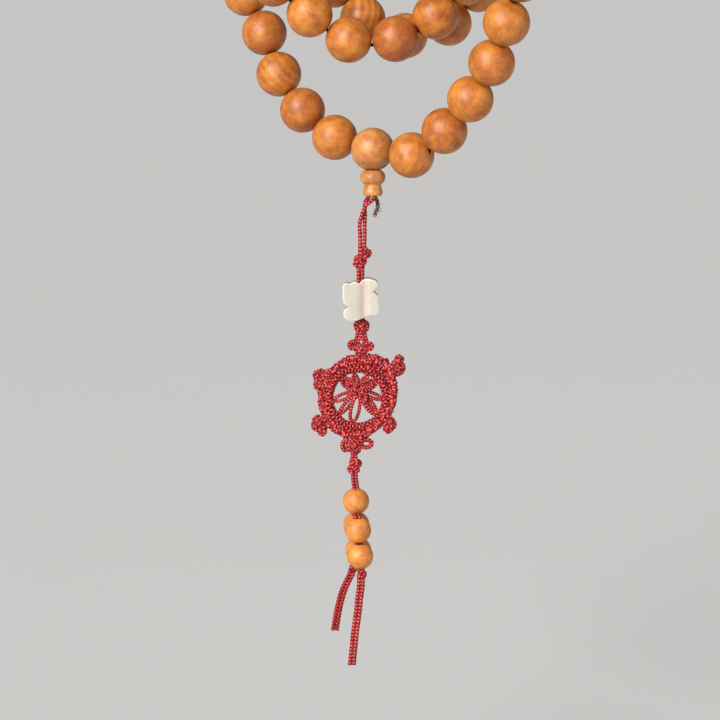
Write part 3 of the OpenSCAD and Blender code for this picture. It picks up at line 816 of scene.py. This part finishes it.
def addFlower():
    middle = onWheel([flowerLook["middle"]])[0]
    inner = [h - flowerLook["radius"] for h in flowerLook["halves"]]
    lines = [evenRoute(wovenBall(middle, inner, 3, 4, 40, 0), flowerLook["step"] * mm)]
    for look in petals:
        lines.append(petalLine(look, look["halfWide"], 0))
        if look["doubled"]:
            lines.append(petalLine(look, look["halfWide"] - 0.6, 0.3))
    lines += [earLoop(*loop) for loop in flowerLoops]
    core = ballCore(middle, [half * 0.92 for half in inner])
    wheelPiece("wheelFlower", lines, flowerLook, ["wheel_flower"], [core])


addFlower()
print("wheel knotted")

# The stone: four lobes in a pinwheel, softly rounded all over
stoneEdge = [(-4.75, 3.3), (-4.45, 4.05), (-3.75, 4.3), (-2.7, 4.15), (-1.9, 4.55), (-1.2, 4.7), (-0.4, 4.1),
    (0.35, 4.9), (1.2, 5.45), (2.6, 5.4), (4.0, 4.95), (4.6, 4.2), (4.5, 3.3), (3.9, 2.5), (3.2, 2.05),
    (3.9, 1.6), (4.6, 0.9), (4.8, -0.8), (4.9, -2.6), (4.7, -3.75), (3.9, -4.2), (2.3, -4.25), (1.5, -4.7),
    (0.3, -5.2), (-1.0, -5.65), (-3.0, -5.65), (-4.1, -5.1), (-4.55, -4.0), (-4.45, -3.0), (-3.7, -2.4),
    (-2.8, -2.05), (-3.7, -1.7), (-4.5, -1.1), (-4.7, 0.6), (-4.75, 2.0)]
stoneShape = {"middle": (-3.2, 0, -39.2), "thick": 7.4, "bore": 2.6, "boreSides": 24, "voxel": 0.2,
    "rounding": 5, "groove": 0.5, "seam": 0.9}


def addStone():
    middle = guru + Vector(stoneShape["middle"]) * mm
    seam = middle + Vector((stoneShape["seam"], 0, 0)) * mm
    half = stoneShape["thick"] / 2
    corners = np.array([(x, y, z) for y in (-half, half) for x, z in stoneEdge])
    count = len(stoneEdge)
    faces = [face[::-1] for face in gridFaces(2, count, 0)]
    faces.append(list(range(count)))
    faces.append(list(range(2 * count - 1, count - 1, -1)))
    material = stoneMaterial("frostedStone", stoneLook, seam)
    stone = addPiece("stoneBead", corners, faces, material, smooth=False)
    sides = stoneShape["boreSides"]
    angle = np.arange(sides) * 2 * np.pi / sides
    ring = np.stack([np.cos(angle), np.sin(angle), 0 * angle], axis=1) * stoneShape["bore"] / 2
    boreCorners = np.concatenate([ring + (0, 0, -8), ring + (0, 0, 8)])
    boreFaces = gridFaces(2, sides, 0) + [list(range(sides - 1, -1, -1)), list(range(sides, 2 * sides))]
    bore = addPiece("boreTool", boreCorners, boreFaces, redCord, smooth=False)
    cut = stone.modifiers.new("bore", "BOOLEAN")
    cut.object = bore
    cut.operation = "DIFFERENCE"
    remesh = stone.modifiers.new("remesh", "REMESH")
    remesh.mode = "VOXEL"
    remesh.voxel_size = stoneShape["voxel"]
    soften = stone.modifiers.new("soften", "SMOOTH")
    soften.iterations = stoneShape["rounding"]
    soften.factor = 0.5
    bpy.context.view_layer.update()
    settled = bpy.data.meshes.new_from_object(stone.evaluated_get(bpy.context.evaluated_depsgraph_get()))
    bpy.data.objects.remove(bore)
    stone.modifiers.clear()
    co = np.array([v.co for v in settled.vertices])
    # each face of the stone dips a little along its middle
    nearSeam = np.exp(-((co[:, 0] - stoneShape["seam"]) / 1.1) ** 2)
    nearFace = np.clip((np.abs(co[:, 1]) - 2) / 1.5, 0, 1)
    co[:, 1] -= np.sign(co[:, 1]) * stoneShape["groove"] * nearSeam * nearFace
    settled.vertices.foreach_set("co", (np.array(middle) + co * mm).ravel())
    settled.update()
    settled.shade_smooth()
    stone.data = settled
    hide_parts("stone_bead")
    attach(stone, "stone_bead")


addStone()
print("stone made")


# Wooden beads stand where the frame's beads are, each with its own piece of wood
def beadPlaces(node):
    mesh = frame["nodes"][node].data
    co = np.array([v.co for v in mesh.vertices])
    welded, owner = np.unique(np.round(co / 1e-6).astype(np.int64), axis=0, return_inverse=True)
    owner = owner.ravel()
    edges = owner[np.array([e.vertices for e in mesh.edges])]
    label = np.arange(len(welded))
    while True:
        lower = np.minimum(label[edges[:, 0]], label[edges[:, 1]])
        before = label.copy()
        np.minimum.at(label, edges[:, 0], lower)
        np.minimum.at(label, edges[:, 1], lower)
        label = label[label]
        if (label == before).all():
            break
    points = welded * 1e-6
    places = []
    for one in np.unique(label):
        mine = points[label == one]
        middle = (mine.min(axis=0) + mine.max(axis=0)) / 2
        out = mine - middle
        reach = np.linalg.norm(out, axis=1)
        inner = out[reach < 0.97 * reach.max()]
        oneEnd = inner[inner @ inner[0] > 0].mean(axis=0)
        places.append((middle, oneEnd / np.linalg.norm(oneEnd)))
    return places


def beadProfile(diameter, bore, arcs):
    radius = diameter / 2
    mouth = bore / 2 + 0.10
    first = math.asin(mouth / radius)
    profile = []
    for k in range(arcs + 1):
        polar = first + (math.pi - 2 * first) * k / arcs
        profile.append((radius * math.sin(polar), radius * math.cos(polar)))
    top = profile[0][1]
    lip = [(bore / 2 + 0.08, top - 0.03), (bore / 2 + 0.02, top - 0.12), (bore / 2, top - 0.5)]
    return profile + [(r, -z) for r, z in lip] + lip[::-1]


def turned(profile, columns):
    angle = np.arange(columns)[None, :] * 2 * np.pi / columns
    r = np.array([p[0] for p in profile])[:, None]
    z = np.array([p[1] for p in profile])[:, None]
    return np.stack([r * np.cos(angle), r * np.sin(angle), z + 0 * angle], axis=-1).reshape(-1, 3)


# Tone of each bead: lighter or darker, how strong its rings are, how red it is
toneLook = {"shade": (-0.12, 0.18), "rings": (0.1, 0.6), "red": (0.0, 0.6)}


def randomTone(look):
    shade = chance.uniform(*look["shade"])
    return (shade, chance.uniform(*look["rings"]) ** 2, chance.uniform(*look["red"]) ** 2)


def beadPiece(name, node, material, look, arcs, columns, tones=None, turn=None):
    profile = turned(beadProfile(look["diameter"], look["bore"], arcs), columns)
    rows = len(profile) // columns
    corners, grains, toneRows, faces, start = [], [], [], [], 0
    for middle, axis in beadPlaces(node):
        stand = np.array(Vector((0, 0, 1)).rotation_difference(Vector(axis)).to_matrix())
        corners.append(np.array(middle) + profile @ stand.T * mm)
        spin = Matrix.Rotation(chance.uniform(0, 2 * math.pi), 3, "Z")
        spin = spin @ Matrix.Rotation(chance.uniform(0.1, 1.5) if turn is None else turn, 3, "X")
        grains.append(profile @ np.array(spin).T + [chance.uniform(-300, 300) for axis in "xyz"])
        toneRows.append(np.tile(tones or randomTone(toneLook), (len(profile), 1)))
        faces += [face[::-1] for face in gridFaces(rows, columns, start, closedRows=True)]
        start += len(profile)
    piece = addPiece(name, np.concatenate(corners), faces, material,
        vectors={"grain": np.concatenate(grains), "tone": np.concatenate(toneRows)})
    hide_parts(node)
    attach(piece, bodyOf[node])


mainLook = {"diameter": 12, "bore": 1.5}
smallLook = {"diameter": 7.0, "bore": 2.5}
# a few beads stand out: redder ones, and one with strong curved rings
specialTones = {"front_bead_3": (-0.12, 0.1, 0.5), "back_bead_2": (0.02, 0.95, 0.05),
    "front_bead_1": (0.08, 0.2, 0.0), "left_bead_3": (0.0, 0.5, 0.1), "right_bead_3": (0.05, 0.15, 0.05)}
for run in ("right", "front", "back", "left"):
    for k in range(1, 6):
        node = f"{run}_bead_{k}"
        beadPiece(f"{run}Bead{k}", node, beadWood, mainLook, 30, 60, specialTones.get(node))
for node in ("right_leg_beads", "left_leg_beads", "front_pass_beads", "middle_pass_beads", "rear_pass_beads",
        "front_loop_leg_beads", "back_loop_leg_beads"):
    first, *rest = node.split("_")
    beadPiece(first + "".join(word.title() for word in rest), node, beadWood, mainLook, 18, 36)
for place in ("top", "front_upper", "front_lower", "back_upper", "back_lower"):
    tone = (chance.uniform(-0.05, 0.12), 0.12, 0.0)
    beadPiece("smallBead" + place.title().replace("_", ""), "small_bead_" + place, smallWood,
        smallLook, 24, 48, tone)
print("beads turned")


# The guru bead and the turned tower under it, from the same paler wood
towerLook = {"base": -12.15, "columns": 72}
towerProfile = [(1.6, 0.35), (1.75, 0.05), (2.1, 0.0), (2.4, 0.2), (2.6, 0.6), (2.66, 1.0), (2.58, 1.4),
    (2.42, 1.85), (2.3, 2.3), (2.24, 2.7), (2.26, 3.05), (2.5, 3.3), (2.95, 3.62), (3.25, 4.1), (3.4, 4.75),
    (3.38, 5.3), (3.2, 5.85), (2.9, 6.25), (2.6, 6.5), (2.45, 6.9), (1.6, 6.55)]


def addGuru():
    columns = towerLook["columns"]
    tone = (0.0, 0.25, 0.05)
    beadPiece("guruBead", "guru_bead", guruWood, guruLook, 30, columns, tone, turn=0.5)
    profile = turned([(r, z + towerLook["base"]) for r, z in towerProfile], columns)
    faces = [face[::-1] for face in gridFaces(len(towerProfile), columns, 0, closedRows=True)]
    tower = addPiece("guruTower", np.array(guru) + profile * mm, faces, guruWood,
        vectors={"grain": profile + (40, 12, 7), "tone": np.tile((0.04, 0.3, 0.0), (len(profile), 1))})
    smooth = tower.modifiers.new("smooth", "SUBSURF")
    smooth.levels = 1
    smooth.render_levels = 1
    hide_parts("guru_tower")
    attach(tower, "guru_loop")


addGuru()


# Plain pale floor and soft studio light
studioLook = {"floorDepth": 0.36, "floorSize": 30, "floorColor": (0.70, 0.69, 0.67), "skyStrength": 0.26,
    "skyColor": (0.93, 0.94, 0.96), "backdrop": (0.565, 0.56, 0.548), "lightsAim": (0, 0, -0.19)}
lights = {
    "key": {"kind": "SUN", "place": (-0.70, -1.0, 0.60), "size": 0.62, "power": 4.1},
    "keyLow": {"kind": "AREA", "place": (-0.62, -1.15, 0.05), "size": 0.22, "power": 4},
    "fill": {"kind": "AREA", "place": (1.1, -0.9, 0.1), "size": 1.0, "power": 5},
}


def addStudio():
    size = studioLook["floorSize"] / 2
    square = ((-size, -size), (size, -size), (size, size), (-size, size))
    corners = np.array([(x, y, -studioLook["floorDepth"]) for x, y in square])
    paint, tree, surface = newMaterial("floorPaint")
    place = addNode(tree, "TexCoord").outputs["Object"]
    mottle = addNode(tree, "TexNoise", {"Vector": place, "Scale": 30.0, "Detail": 3.0}).outputs["Fac"]
    shade = tuple(c * 0.985 for c in studioLook["floorColor"])
    tree.links.new(mixColors(tree, mottle, studioLook["floorColor"], shade), surface.inputs["Base Color"])
    surface.inputs["Roughness"].default_value = 0.85
    surface.inputs["Specular IOR Level"].default_value = 0.0
    floor = addPiece("floor", corners, [[0, 1, 2, 3]], paint, smooth=False)
    world = bpy.data.worlds.new("studio")
    world.use_nodes = True
    sky = world.node_tree.nodes["Background"]
    sky.inputs["Color"].default_value = (*studioLook["skyColor"], 1)
    sky.inputs["Strength"].default_value = studioLook["skyStrength"]
    seen = addNode(world.node_tree, "Background", {"Color": (*studioLook["backdrop"], 1), "Strength": 1.0})
    fromCamera = addNode(world.node_tree, "LightPath").outputs["Is Camera Ray"]
    either = addNode(world.node_tree, "MixShader", {0: fromCamera, 1: sky.outputs[0], 2: seen.outputs[0]})
    world.node_tree.links.new(either.outputs[0], world.node_tree.nodes["World Output"].inputs["Surface"])
    bpy.context.scene.view_settings.view_transform = "Standard"
    bpy.context.scene.world = world
    aim = Vector(studioLook["lightsAim"])
    for name, look in lights.items():
        data = bpy.data.lights.new(name, look["kind"])
        if look["kind"] == "SUN":
            data.angle = look["size"]
        else:
            data.size = look["size"]
        data.energy = look["power"]
        lamp = bpy.data.objects.new(name, data)
        lamp.location = Vector(look["place"]) + aim
        lamp.rotation_euler = (lamp.location - aim).to_track_quat("Z", "Y").to_euler()
        bpy.context.scene.collection.objects.link(lamp)


addStudio()
print("studio set")
